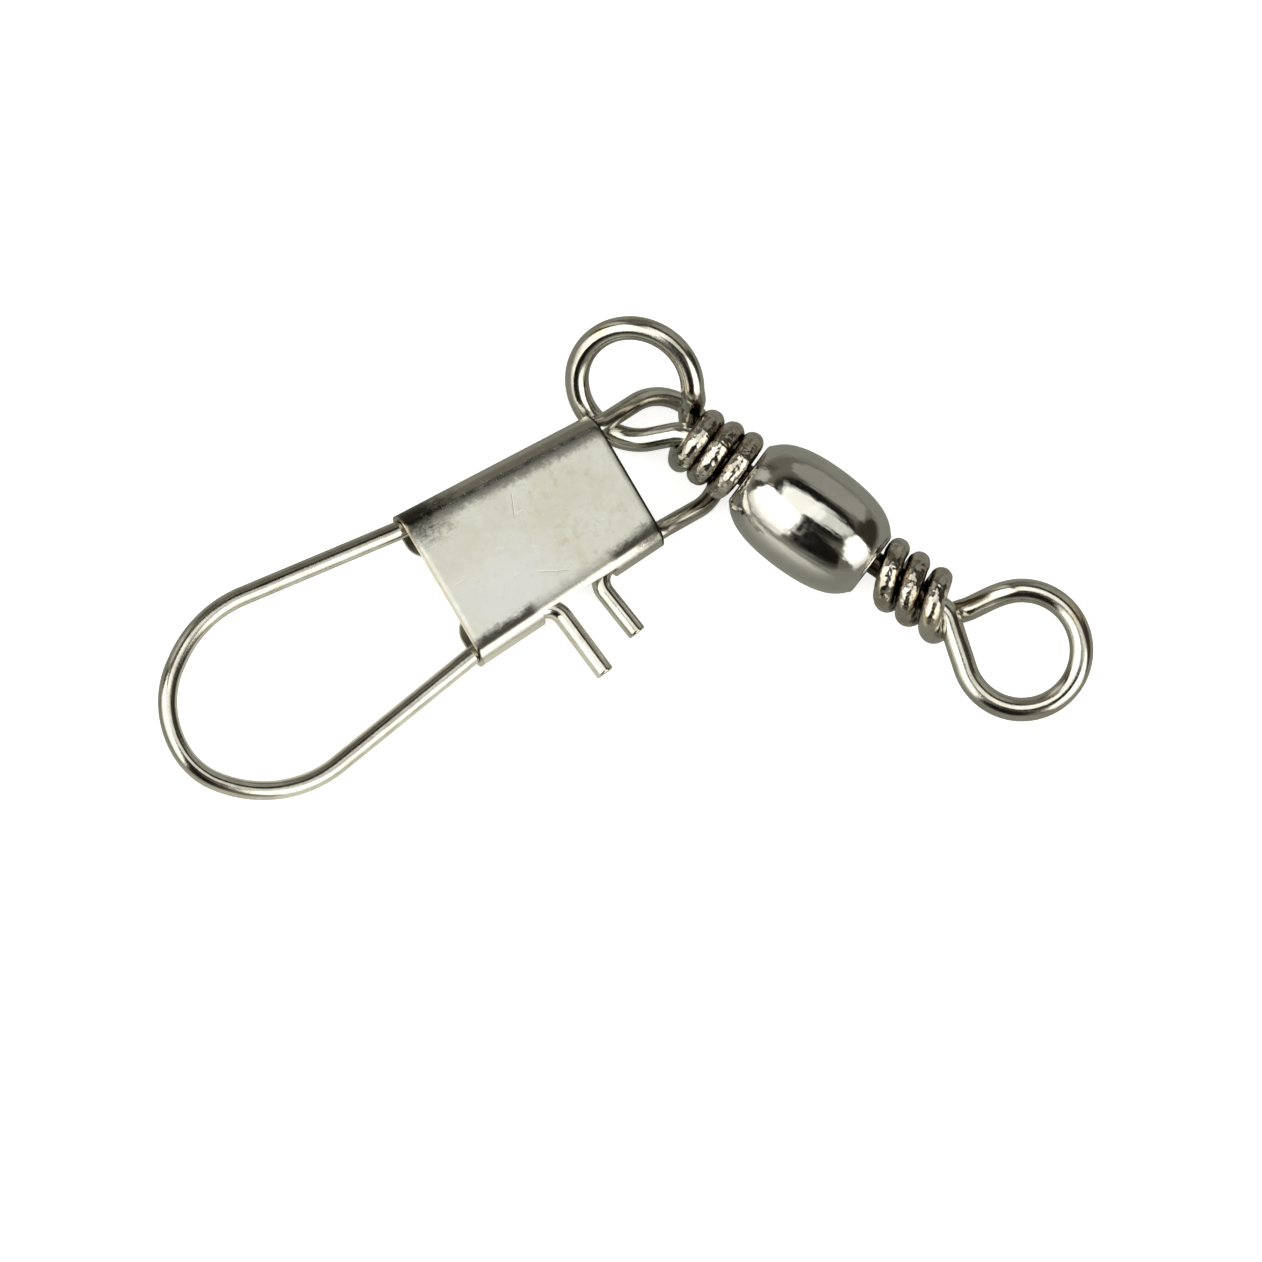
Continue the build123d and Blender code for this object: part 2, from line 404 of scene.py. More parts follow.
def eye_points(neck, ring_x, ring_offset, **coil_sizes):
    """Centre line from the barrel through the eye and back round the shank, and the number of the point
    where the wrap starts."""
    up = Vector((0, 0, 1))
    ring = Vector((ring_x, ring_offset, 0))
    reach = math.hypot(ring_x - neck, ring_offset)
    opening = math.asin(RING_RADIUS / reach)
    heading = math.atan2(ring_offset, ring_x - neck)
    limb = math.sqrt(reach**2 - RING_RADIUS**2)
    along = Vector((math.cos(heading - opening), math.sin(heading - opening), 0))
    leave = Vector((neck, 0, 0)) + along * limb
    first_angle = math.degrees(heading - opening) - 90
    last_angle = math.degrees(heading + opening) + 90 - TAIL_OPENING

    bend_start = Vector((neck - NECK_BEND * math.tan((opening - heading) / 2), 0, 0))
    shank = straight((BARREL_LENGTH / 2 - SHANK_IN_BARREL, 0, 0), bend_start)
    bend_centre = bend_start - Vector((0, NECK_BEND, 0))
    neck_arc = arc_about(bend_centre, bend_start, up, math.degrees(heading - opening))
    ring_arc = arc_about(ring, leave, up, last_angle - first_angle)

    landing = ring_arc[-1]
    landing_way = Vector((-math.sin(math.radians(last_angle)), math.cos(math.radians(last_angle)), 0))
    tail_neck = neck + TAIL_LAG
    tail_reach = math.hypot(ring_x - tail_neck, ring_offset)
    tail_heading = math.atan2(ring_offset, ring_x - tail_neck) + math.asin(RING_RADIUS / tail_reach)
    tail_way = Vector((math.cos(tail_heading), math.sin(tail_heading), 0))
    under = Vector((tail_neck, 0, -TAIL_DROP)) + tail_way * TAIL_RUN
    under_way = (-TAIL_SLOPE * up - tail_way).normalized()

    coil = coil_points(**coil_sizes)
    coil_way = (coil[1] - coil[0]).normalized()
    first_span = (under - landing).length
    last_span = (coil[0] - under).length
    down = hermite(landing, landing_way * first_span, under, under_way * first_span)
    across = hermite(under, under_way * last_span, coil[0], coil_way * last_span * TAIL_PULL)
    points = joined(shank, neck_arc, straight(neck_arc[-1], leave), ring_arc, down, across, coil)
    return points, len(points) - len(coil)


# Snap, in its own frame: X runs towards the small loop, and the wire's centre line lies at height 0
GRIP_RADIUS = SNAP_WIRE / 2 + 0.01
BACK_CURL = GRIP_RADIUS + SHEET
FRONT_CURL = 0.8
CURL_SHIFT = BACK_CURL - FRONT_CURL
TRACK_EYE_END = HALF_WIDTH_EYE_END - BACK_CURL
TAPER = math.atan2(HALF_WIDTH_HOOK_END - HALF_WIDTH_EYE_END, SLEEVE_LENGTH)
SMALL_LOOP_TIP = 4.78
SMALL_LOOP_HALF_WIDTH = 2.62
EYE_END = 0.25
TRACK_OVERRUN = 0.1
BIG_LOOP_TIP = 22.45
TIP_UPPER = 1.8
TIP_LOWER = 1.3
UPPER_SHOULDER = (-18.87, 4.23, 0)
LOWER_SHOULDER = (-19.85, -4.45, 0)
SHORT_PRONG_X = 3.32
SHORT_PRONG_TIP = (-2.95, -5.72, 0.25)
LONG_PRONG_X = 5.38
LONG_PRONG_TIP = (-5.07, -6.47, 0.38)
SHORT_PRONG_BEND = 0.85
LEG_BEND = 2
SMALL_LOOP_BEND = 2.35
LONG_BEND = 5
UPPER_SHOULDER_BEND = 5.4
UPPER_TIP_BEND = 3.8
LOWER_TIP_BEND = 2.9
LOWER_SHOULDER_BEND = 5.3
LONG_PRONG_BEND = 0.8


def track(x):
    """Distance from the snap's centre line to either wire inside the sleeve."""
    return TRACK_EYE_END - x * math.tan(TAPER)


def snap_points():
    """One spring wire: short prong, small loop, big loop, long prong."""
    tip = SMALL_LOOP_TIP * math.cos(math.radians(SMALL_LOOP_DIP))
    dip = -SMALL_LOOP_TIP * math.sin(math.radians(SMALL_LOOP_DIP))
    hook_end = -SLEEVE_LENGTH - TRACK_OVERRUN
    corners = [
        SHORT_PRONG_TIP,
        (-SHORT_PRONG_X, -track(-SHORT_PRONG_X), 0),
        (EYE_END, -track(EYE_END), 0),
        (tip, -SMALL_LOOP_HALF_WIDTH, dip),
        (tip, SMALL_LOOP_HALF_WIDTH, dip),
        (EYE_END, track(EYE_END), 0),
        (hook_end, track(hook_end), 0),
        UPPER_SHOULDER,
        (-BIG_LOOP_TIP, TIP_UPPER, 0),
        (-BIG_LOOP_TIP, -TIP_LOWER, 0),
        LOWER_SHOULDER,
        (hook_end, -track(hook_end), 0),
        (-LONG_PRONG_X, -track(-LONG_PRONG_X), 0),
        LONG_PRONG_TIP,
    ]
    radii = [
        SHORT_PRONG_BEND,
        LEG_BEND,
        SMALL_LOOP_BEND,
        SMALL_LOOP_BEND,
        LEG_BEND,
        LONG_BEND,
        UPPER_SHOULDER_BEND,
        UPPER_TIP_BEND,
        LOWER_TIP_BEND,
        LOWER_SHOULDER_BEND,
        LONG_BEND,
        LONG_PRONG_BEND,
    ]
    return rounded_path(corners, radii)


# Sleeve
FRONT_HEIGHT = FRONT_CURL - SHEET / 2
BACK_HEIGHT = GRIP_RADIUS + SHEET / 2
PLATE_MARGIN = 1.0
MARGIN_STEPS = 8
MARGIN_STEP = 0.1
FRONT_CURL_STEP = 5
BACK_CURL_STEP = 9
LIP_STEPS_ACROSS = 12
LIP_REACH = 1.6
LIP_CORNER = 0.9
PLATE_COLUMNS = 14
ROWS_ALONG = 60
# Shares of the length at which the close rows at each cut end lie
END_ROWS = (0.0, 0.004, 0.008, 0.012)
# Each cut end of the front is pressed down by EDGE_DROP, which fades over EDGE_DROP_REACH along the sheet and
# over EDGE_DROP_DEPTH down its curls
EDGE_DROP = 0.05
EDGE_DROP_REACH = 0.12
EDGE_DROP_DEPTH = 0.35
NOTCH_LEFT = -6.19
NOTCH_RIGHT = -2.37
NOTCH_EDGE = HALF_WIDTH_EYE_END - 1.2 * SHEET
WINDOW_EDGE = TRACK_EYE_END - GRIP_RADIUS
WINDOW_TOP = GRIP_RADIUS + 0.02
BROKEN_EDGE = 0.035
BROKEN_EDGE_STEPS = 3
SHARP_ANGLE = 50
# How near a cut a vertex counts as on it, and how near each other two vertices become one
ON_CUT = 1e-5
WELD = 1e-4


def sleeve_section():
    """Mid line of one curled edge, as (distance out from the wire, height, distance past the fold)."""
    line = [(-PLATE_MARGIN + MARGIN_STEP * i, FRONT_HEIGHT) for i in range(MARGIN_STEPS)]
    for degrees in range(0, 90, FRONT_CURL_STEP):
        angle = math.radians(degrees)
        line.append((CURL_SHIFT + FRONT_HEIGHT * math.sin(angle), FRONT_HEIGHT * math.cos(angle)))
    for degrees in range(0, 90, BACK_CURL_STEP):
        angle = math.radians(degrees)
        line.append((BACK_HEIGHT * math.cos(angle), -BACK_HEIGHT * math.sin(angle)))
    line += [(-LIP_REACH * i / LIP_STEPS_ACROSS, -BACK_HEIGHT) for i in range(LIP_STEPS_ACROSS + 1)]
    section = []
    past = line[0][0] - CURL_SHIFT
    for i, (out, height) in enumerate(line):
        if i:
            past += math.hypot(out - line[i - 1][0], height - line[i - 1][1])
        section.append((out, height, past))
    return section


def curled_point(share, side, drop, out, height, past):
    """Place of a point on a curled edge, round at the lips' corners, and its (along, across, past fold)."""
    trim = 0
    into_corner = LIP_CORNER - (out + LIP_REACH)
    if height < 0 and into_corner > 0:
        trim = LIP_CORNER - math.sqrt(max(0, LIP_CORNER**2 - into_corner**2))
    x = -trim - (SLEEVE_LENGTH - 2 * trim) * share
    fade = max(0, 1 - (FRONT_HEIGHT - height) / EDGE_DROP_DEPTH)
    half = track(-SLEEVE_LENGTH * share) + CURL_SHIFT
    return (x, side * (track(x) + out), height - drop * fade), (x, side * (half + past), past)


def sleeve_row(share, section):
    """Points across the sheet at a share of its length, from lip to lip, as curled_point gives them."""
    near_end = min(share, 1 - share) * SLEEVE_LENGTH
    drop = EDGE_DROP * max(0, 1 - near_end / EDGE_DROP_REACH) ** 2
    x = -SLEEVE_LENGTH * share
    half = track(x) + CURL_SHIFT
    inner = track(x) - PLATE_MARGIN
    row = [curled_point(share, -1, drop, *point) for point in reversed(section)]
    for j in range(1, PLATE_COLUMNS):
        y = -inner + 2 * inner * j / PLATE_COLUMNS
        row.append(((x, y, FRONT_HEIGHT - drop), (x, y, abs(y) - half)))
    row += [curled_point(share, 1, drop, *point) for point in section]
    return row


def cut_notch(bm):
    """Opens the lower edge where the prongs come out: the rim of the front, and all of the curl behind it."""
    cuts = (
        ((NOTCH_LEFT, 0, 0), (1, 0, 0)),
        ((NOTCH_RIGHT, 0, 0), (1, 0, 0)),
        ((0, -NOTCH_EDGE, 0), (0, 1, 0)),
        ((0, 0, WINDOW_TOP), (0, 0, 1)),
        ((0, -WINDOW_EDGE, 0), (0, 1, 0)),
    )
    for point, normal in cuts:
        geometry = bm.verts[:] + bm.edges[:] + bm.faces[:]
        bmesh.ops.bisect_plane(bm, geom=geometry, dist=ON_CUT, plane_co=point, plane_no=normal)
    gone = []
    for face in bm.faces:
        centre = face.calc_center_median()
        in_notch = NOTCH_LEFT < centre.x < NOTCH_RIGHT
        in_window = centre.y < -WINDOW_EDGE and centre.z < WINDOW_TOP
        if in_notch and (centre.y < -NOTCH_EDGE or in_window):
            gone.append(face)
    bmesh.ops.delete(bm, geom=gone, context="FACES")


def make_sleeve():
    """Sheet with both long edges curled back, made as its mid surface, notched and thickened. The UV map
    "sheet" holds millimetres along and across it, and "fold" how far a point lies past its nearest fold, and
    on which side."""
    bm = bmesh.new()
    sheet_uv = bm.loops.layers.uv.new("sheet")
    fold_uv = bm.loops.layers.uv.new("fold")
    low_end, high_end = END_ROWS[-1], 1 - END_ROWS[-1]
    shares = list(END_ROWS)
    shares += [low_end + (high_end - low_end) * i / ROWS_ALONG for i in range(1, ROWS_ALONG)]
    shares += [1 - share for share in reversed(END_ROWS)]
    section = sleeve_section()
    rows = []
    measures = {}
    for share in shares:
        row = []
        for place, measure in sleeve_row(share, section):
            vert = bm.verts.new(place)
            measures[vert] = measure
            row.append(vert)
        rows.append(row)
    for a, b in zip(rows, rows[1:]):
        for k in range(len(a) - 1):
            face = bm.faces.new((a[k], a[k + 1], b[k + 1], b[k]))
            for loop in face.loops:
                along, across, past = measures[loop.vert]
                loop[sheet_uv].uv = (along, across)
                loop[fold_uv].uv = (past, math.copysign(1, across))
    cut_notch(bm)
    bmesh.ops.remove_doubles(bm, verts=bm.verts, dist=WELD)
    obj = finish_mesh("sleeve_sheet", bm, snap_place)
    thicken = obj.modifiers.new("thickness", "SOLIDIFY")
    thicken.thickness = SHEET * MM
    thicken.offset = 0
    thicken.use_even_offset = True
    edge = obj.modifiers.new("edges", "BEVEL")
    edge.width = BROKEN_EDGE * MM
    edge.segments = BROKEN_EDGE_STEPS
    edge.limit_method = "ANGLE"
    edge.angle_limit = math.radians(SHARP_ANGLE)
    return obj


# Pieces
def make_eye(name, sizes, place, shank):
    points, wrap_start = eye_points(**sizes)
    return tube(name, points, EYE_WIRE / 2, place, wrap_start, shank)


barrel = make_barrel()
line_eye = make_eye("line_eye_wire", LINE_EYE_SIZES, line_eye_place, LINE_SHANK_SHADOW)
snap_eye = make_eye("snap_eye_wire", SNAP_EYE_SIZES, snap_eye_place, SNAP_SHANK_SHADOW)
snap = tube("snap_spring_wire", snap_points(), SNAP_WIRE / 2, snap_place)
sleeve = make_sleeve()

for piece, node, body in (
    (barrel, "barrel", "barrel"),
    (line_eye, "line_eye", "line_eye"),
    (snap_eye, "snap_eye", "snap_eye"),
    (snap, "snap_wire", "snap"),
    (sleeve, "snap_sleeve", "snap"),
):
    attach(piece, body)
    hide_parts(node)


# Node helpers
class Nodes:
    """Small helper that adds nodes to one tree and links them."""

    def __init__(self, tree):
        self.tree = tree
        tree.nodes.clear()

    def add(self, kind, inputs=None, **settings):
        node = self.tree.nodes.new(kind)
        for key, value in settings.items():
            setattr(node, key, value)
        for key, value in (inputs or {}).items():
            self.feed(node.inputs[key], value)
        return node

    def feed(self, socket, value):
        if isinstance(value, bpy.types.NodeSocket):
            self.tree.links.new(value, socket)
        else:
            socket.default_value = value

    def calc(self, operation, *values):
        """One arithmetic step, and with more than two values a chain of them."""
        result = values[0]
        for value in values[1:] or (0.0,):
            result = self.add("ShaderNodeMath", {0: result, 1: value}, operation=operation).outputs[0]
        return result

    def plus(self, *values):
        return self.calc("ADD", *values)

    def minus(self, a, b):
        return self.calc("SUBTRACT", a, b)

    def times(self, *values):
        return self.calc("MULTIPLY", *values)

    def over(self, a, b):
        return self.calc("DIVIDE", a, b)

    def most(self, *values):
        return self.calc("MAXIMUM", *values)

    def least(self, *values):
        return self.calc("MINIMUM", *values)

    def size(self, value):
        return self.calc("ABSOLUTE", value)

    def ramp(self, value, low, high, out_low=0.0, out_high=1.0):
        """Smooth change from out_low where value is low to out_high where it is high."""
        node = self.add("ShaderNodeMapRange", interpolation_type="SMOOTHSTEP")
        self.feed(node.inputs["Value"], value)
        self.feed(node.inputs["From Min"], low)
        self.feed(node.inputs["From Max"], high)
        self.feed(node.inputs["To Min"], out_low)
        self.feed(node.inputs["To Max"], out_high)
        return node.outputs[0]

    def mix(self, factor, a, b):
        return self.add("ShaderNodeMix", {0: factor, 6: a, 7: b}, data_type="RGBA").outputs[2]

    def noise(self, vector, scale, detail=3.0, rough=0.5, distortion=0.0):
        inputs = {"Vector": vector, "Scale": scale, "Detail": detail}
        inputs.update({"Roughness": rough, "Distortion": distortion})
        return self.add("ShaderNodeTexNoise", inputs).outputs["Fac"]

    def stretched(self, vector, scale, offset=(0, 0, 0)):
        inputs = {"Vector": vector, "Scale": scale, "Location": offset}
        return self.add("ShaderNodeMapping", inputs).outputs[0]

    def xyz(self, vector):
        """The three parts of a vector, named X, Y and Z."""
        return self.add("ShaderNodeSeparateXYZ", {0: vector}).outputs

    def uv(self, name):
        return self.add("ShaderNodeUVMap", uv_map=name).outputs[0]

    def own_millimetres(self):
        """The object's own coordinates in millimetres."""
        place = self.add("ShaderNodeTexCoord").outputs["Object"]
        return self.stretched(place, (1 / MM, 1 / MM, 1 / MM))

    def blob(self, x, y, centre, radii, edge, soft=0.35):
        """1 inside an ellipse round centre, fading outwards over soft, with its outline moved by edge."""
        dx = self.over(self.minus(x, centre[0]), radii[0])
        dy = self.over(self.minus(y, centre[1]), radii[1])
        away = self.calc("SQRT", self.plus(self.times(dx, dx), self.times(dy, dy)))
        return self.ramp(self.plus(away, edge), 1 + soft, 1 - soft)

    def stroke(self, x, y, start, end, width):
        """1 on a fine straight scratch between two points."""
        length = math.hypot(end[0] - start[0], end[1] - start[1])
        ux, uy = (end[0] - start[0]) / length, (end[1] - start[1]) / length
        dx = self.minus(x, (start[0] + end[0]) / 2)
        dy = self.minus(y, (start[1] + end[1]) / 2)
        along = self.size(self.plus(self.times(dx, ux), self.times(dy, uy)))
        aside = self.size(self.minus(self.times(dx, uy), self.times(dy, ux)))
        return self.times(self.ramp(along, length / 2, length / 4), self.ramp(aside, width, 0.0))

    def bump(self, height, strength, depth, under=None):
        """Bump up to depth millimetres deep, over another bump where under is its normal."""
        inputs = {"Height": height, "Strength": strength, "Distance": depth * MM}
        if under is not None:
            inputs["Normal"] = under
        return self.add("ShaderNodeBump", inputs).outputs[0]

    def metal(self, colour, roughness, normal):
        """Metal finish on the material's output."""
        inputs = {"Metallic": 1.0, "Base Color": colour, "Roughness": roughness, "Normal": normal}
        shader = self.add("ShaderNodeBsdfPrincipled", inputs)
        self.add("ShaderNodeOutputMaterial", {"Surface": shader.outputs[0]})


def rgb(r, g, b):
    return (r, g, b, 1.0)


def new_material(name):
    material = bpy.data.materials.new(name)
    material.use_nodes = True
    return material, Nodes(material.node_tree)


# Materials
def barrel_material():
    """Mirror-polished dark nickel with faint waves, fine brushing along the barrel and a few specks."""
    dark_nickel = rgb(0.57, 0.565, 0.53)
    pale_nickel = rgb(0.62, 0.61, 0.575)
    speck_brown = rgb(0.2, 0.18, 0.14)
    material, nodes = new_material("barrel_nickel")
    mm = nodes.own_millimetres()
    waves = nodes.noise(mm, 0.9, 2.0)
    grain = nodes.noise(mm, 9.0, 3.0)
    specks = nodes.ramp(nodes.noise(mm, 3.2, 4.0, 0.6), 0.66, 0.74)
    brushed = nodes.noise(nodes.stretched(mm, (0.5, 7, 7)), 1.0, 3.0, 0.6)
    colour = nodes.mix(nodes.ramp(waves, 0.35, 0.65), dark_nickel, pale_nickel)
    colour = nodes.mix(nodes.times(specks, 0.35), colour, speck_brown)
    roughness = nodes.ramp(nodes.plus(grain, nodes.times(brushed, 0.6)), 0.5, 1.1, 0.05, 0.13)
    height = nodes.plus(nodes.times(waves, 0.9), nodes.times(brushed, 0.2))
    nodes.metal(colour, roughness, nodes.bump(height, 0.08, 0.4))
    return material


def wire_material(name, pale, dark, tint_amount):
    """Bright drawn wire with streaks along it, tint and specks in patches, and tarnish where it is pressed.
    Beside a neighbour strand a warm reflection is painted, and shade where the two touch; painted shadow
    covers the shank inside the wrap."""
    warm_tint = rgb(0.66, 0.47, 0.25)
    speck_brown = rgb(0.2, 0.16, 0.1)
    tarnish_grey = rgb(0.34, 0.3, 0.25)
    painted_warm_reflection = rgb(0.52, 0.38, 0.23)
    painted_contact_shade = rgb(0.07, 0.045, 0.03)
    near_black = rgb(0.05, 0.04, 0.03)
    material, nodes = new_material(name)
    mm = nodes.own_millimetres()
    wear_and_shade = nodes.add("ShaderNodeAttribute", attribute_name="wear_and_shade").outputs["Vector"]
    wear_and_shade = nodes.xyz(wear_and_shade)
    facing, pressed, in_shank_shadow = wear_and_shade["X"], wear_and_shade["Y"], wear_and_shade["Z"]

    streaks = nodes.noise(nodes.stretched(nodes.uv("wire"), (22, 0.3, 1)), 1.0, 3.0, 0.6)
    blotches = nodes.noise(mm, 0.9, 4.0, 0.6, 0.4)
    tint = nodes.ramp(nodes.noise(nodes.stretched(mm, (1, 1, 1), (7, 3, 5)), 0.45, 3.0, 0.55), 0.6, 0.72)
    grain = nodes.noise(mm, 12.0, 4.0, 0.65)
    specks = nodes.ramp(nodes.noise(mm, 4.5, 3.0, 0.6), 0.68, 0.76)
    colour = nodes.mix(nodes.ramp(blotches, 0.35, 0.7), pale, dark)
    colour = nodes.mix(nodes.times(tint, tint_amount), colour, warm_tint)
    colour = nodes.mix(nodes.times(specks, 0.35), colour, speck_brown)

    uneven = nodes.noise(mm, 1.7, 3.0, 0.6)
    tarnish = nodes.times(pressed, nodes.ramp(uneven, 0.35, 0.62, 0.1, 0.75))
    colour = nodes.mix(tarnish, colour, tarnish_grey)
    # Painted shade between neighbour strands, darkest where they touch, with a painted warm reflection along
    # its edge
    beside = nodes.plus(facing, nodes.times(nodes.minus(uneven, 0.5), 0.7))
    warm_reflection = nodes.times(nodes.ramp(beside, 0.5, 0.72), nodes.ramp(blotches, 0.42, 0.58))
    colour = nodes.mix(nodes.times(warm_reflection, 0.6), colour, painted_warm_reflection)
    colour = nodes.mix(nodes.ramp(beside, 0.72, 0.98), colour, painted_contact_shade)
    # Painted shadow on the shank inside the wrap
    colour = nodes.mix(in_shank_shadow, colour, near_black)

    streaky = nodes.plus(streaks, nodes.times(grain, 0.4))
    roughness = nodes.plus(nodes.ramp(streaky, 0.4, 1.0, 0.07, 0.2), nodes.times(pressed, 0.02))
    fine = nodes.bump(nodes.plus(nodes.times(streaks, 0.5), nodes.times(grain, 0.35)), 0.3, 0.03)
    dents = nodes.times(nodes.noise(mm, 1.8, 2.0, 0.5), pressed)
    nodes.metal(colour, roughness, nodes.bump(dents, 0.5, 0.3, fine))
    return material


def sleeve_material():
    """Dull pale sheet: cloudy stains, fine scratches and a painted highlight on the flat, brighter polish and
    painted shade at the folds, two dark patches, and painted shade along the eye end's cut edge. Places on it
    are (millimetres along, millimetres across), as in the UV map "sheet"."""
    pale = rgb(0.93, 0.935, 0.87)
    cloudy = rgb(0.85, 0.84, 0.75)
    painted_highlight_white = rgb(0.95, 0.95, 0.94)
    stain_tan = rgb(0.66, 0.57, 0.4)
    scratch_grey = rgb(0.5, 0.46, 0.38)
    mark_brown = rgb(0.35, 0.31, 0.24)
    bent_grey = rgb(0.62, 0.61, 0.55)
    near_black = rgb(0.045, 0.04, 0.03)
    hook_edge_brown = rgb(0.4, 0.36, 0.28)
    painted_eye_edge_shade = rgb(0.04, 0.035, 0.028)
    highlight_centre, highlight_radii = (-6.9, -1.5), (2.3, 1.6)
    stains = (((-2.6, -1.3), (2.0, 1.5)), ((-2.5, 1.5), (2.3, 1.0)))
    marks = (
        ((-4.72, 2.05), (-5.2, 1.0), 0.035),
        ((-4.72, 1.15), (-5.3, 1.02), 0.03),
        ((-5.6, -1.35), (-4.1, -2.1), 0.03),
    )
    dark_patches = (((-9.3, 3.2), (1.9, 1.05)), ((-0.1, -2.4), (1.2, 0.4)))

    material, nodes = new_material("sleeve_sheet")
    sheet = nodes.uv("sheet")
    laid_flat = nodes.xyz(sheet)
    along, across = laid_flat["X"], laid_flat["Y"]
    fold = nodes.xyz(nodes.uv("fold"))
    past, side = fold["X"], fold["Y"]
    clouds = nodes.noise(sheet, 0.6, 4.0, 0.6, 0.4)
    mottle = nodes.noise(sheet, 3.0, 4.0, 0.62, 0.5)
    grain = nodes.noise(nodes.own_millimetres(), 15.0, 4.0, 0.7)
    uneven = nodes.minus(nodes.noise(sheet, 2.2, 3.0, 0.6), 0.5)
    fibres = nodes.minus(nodes.noise(nodes.stretched(sheet, (5, 9, 1), (1, 2, 0)), 1.0, 4.0, 0.7, 0.6), 0.5)
    fine_along = nodes.noise(nodes.stretched(sheet, (1.3, 22, 1)), 1.0, 2.0, 0.6, 0.3)
    fine_across = nodes.noise(nodes.stretched(sheet, (20, 2.2, 1), (3, 9, 0)), 1.0, 2.0, 0.6, 0.4)

    # The flat: clouds, a painted highlight, stains, fine scratches and three longer ones
    colour = nodes.mix(nodes.ramp(clouds, 0.36, 0.64), pale, cloudy)
    # Painted highlight: a lighter patch on the lower part of the flat, towards the hook end
    painted_highlight = nodes.blob(along, across, highlight_centre, highlight_radii, nodes.times(uneven, 1.4), 0.6)
    colour = nodes.mix(painted_highlight, colour, painted_highlight_white)
    ragged_stain = nodes.times(uneven, 1.8)
    stained = nodes.most(*(nodes.blob(along, across, *stain, ragged_stain, 0.5) for stain in stains))
    spots = nodes.times(stained, nodes.ramp(mottle, 0.46, 0.66))
    colour = nodes.mix(nodes.times(spots, 0.3), colour, stain_tan)
    scratches = nodes.most(nodes.ramp(fine_along, 0.64, 0.74), nodes.ramp(fine_across, 0.66, 0.76))
    colour = nodes.mix(nodes.times(scratches, 0.22), colour, scratch_grey)
    colour = nodes.mix(nodes.times(nodes.ramp(mottle, 0.62, 0.74), 0.2), colour, scratch_grey)
    marked = nodes.most(*(nodes.stroke(along, across, *mark) for mark in marks))
    colour = nodes.mix(nodes.times(marked, 0.4), colour, mark_brown)

    # The folds: polish past them, a ragged line of painted shade before them, heavier near the lower one's
    # ends, and two dark patches
    bent = nodes.ramp(past, -0.15, 0.12)
    colour = nodes.mix(bent, colour, bent_grey)
    # Painted shade: a ragged dark line on the flat just before each fold
    ragged = nodes.plus(past, nodes.times(uneven, 0.5), nodes.times(fibres, 0.5))
    line = nodes.times(nodes.ramp(ragged, -0.46, -0.04), nodes.ramp(past, 0.22, 0.1))
    lower = nodes.ramp(side, 0.0, -0.1)
    heavy = nodes.most(nodes.ramp(along, -6.0, -6.8), nodes.ramp(along, -2.8, -2.0))
    lower_fold_shade = nodes.times(line, lower, nodes.ramp(heavy, 0.0, 1.0, 0.3, 1.0))
    upper_fold_shade = nodes.times(line, nodes.minus(0.75, nodes.times(lower, 0.75)))
    feather = nodes.plus(uneven, nodes.times(fibres, 1.6))
    # Two dark patches, at the hook end's upper corner and at the eye end's lower side
    dark_patched = nodes.most(*(nodes.blob(along, across, *dark_patch, feather, 0.7) for dark_patch in dark_patches))
    fold_shade_and_patches = nodes.most(lower_fold_shade, upper_fold_shade, dark_patched)
    colour = nodes.mix(nodes.times(fold_shade_and_patches, 0.93), colour, near_black)

    # The cut ends: a brown edge at the hook end, and painted shade along the eye end's cut edge
    colour = nodes.mix(nodes.times(nodes.ramp(along, -9.33, -9.42), 0.75), colour, hook_edge_brown)
    colour = nodes.mix(nodes.ramp(along, -0.12, -0.05), colour, painted_eye_edge_shade)

    flat_rough = nodes.ramp(nodes.plus(clouds, nodes.times(grain, 0.5)), 0.45, 1.0, 0.26, 0.42)
    bend_rough = nodes.ramp(mottle, 0.3, 0.75, 0.16, 0.28)
    roughness = nodes.ramp(bent, 0.0, 1.0, flat_rough, bend_rough)
    height = nodes.plus(nodes.times(grain, 0.5), nodes.times(nodes.most(scratches, marked), -0.6))
    nodes.metal(colour, roughness, nodes.bump(height, 0.3, 0.03))
    return material


eye_metal = wire_material(
    "eye_wire",
    pale=rgb(0.66, 0.645, 0.585),
    dark=rgb(0.52, 0.5, 0.44),
    tint_amount=0.4,
)
spring_metal = wire_material(
    "spring_wire",
    pale=rgb(0.64, 0.63, 0.57),
    dark=rgb(0.5, 0.48, 0.42),
    tint_amount=0.3,
)
barrel.data.materials.append(barrel_material())
line_eye.data.materials.append(eye_metal)
snap_eye.data.materials.append(eye_metal)
snap.data.materials.append(spring_metal)
sleeve.data.materials.append(sleeve_material())


# Floor, with its sizes in millimetres: white to the camera. The metal sees it dim, but for a pool of light
# under the swivel.
FLOOR_HALF_WIDTH = 1500
FLOOR_LIFT = 0.72
POOL_CENTRE = (-2, -9, 0)
POOL_EDGE = 17
POOL_CORE = 5
POOL_EDGE_LIGHT = 0.16
POOL_CORE_LIGHT = 0.75


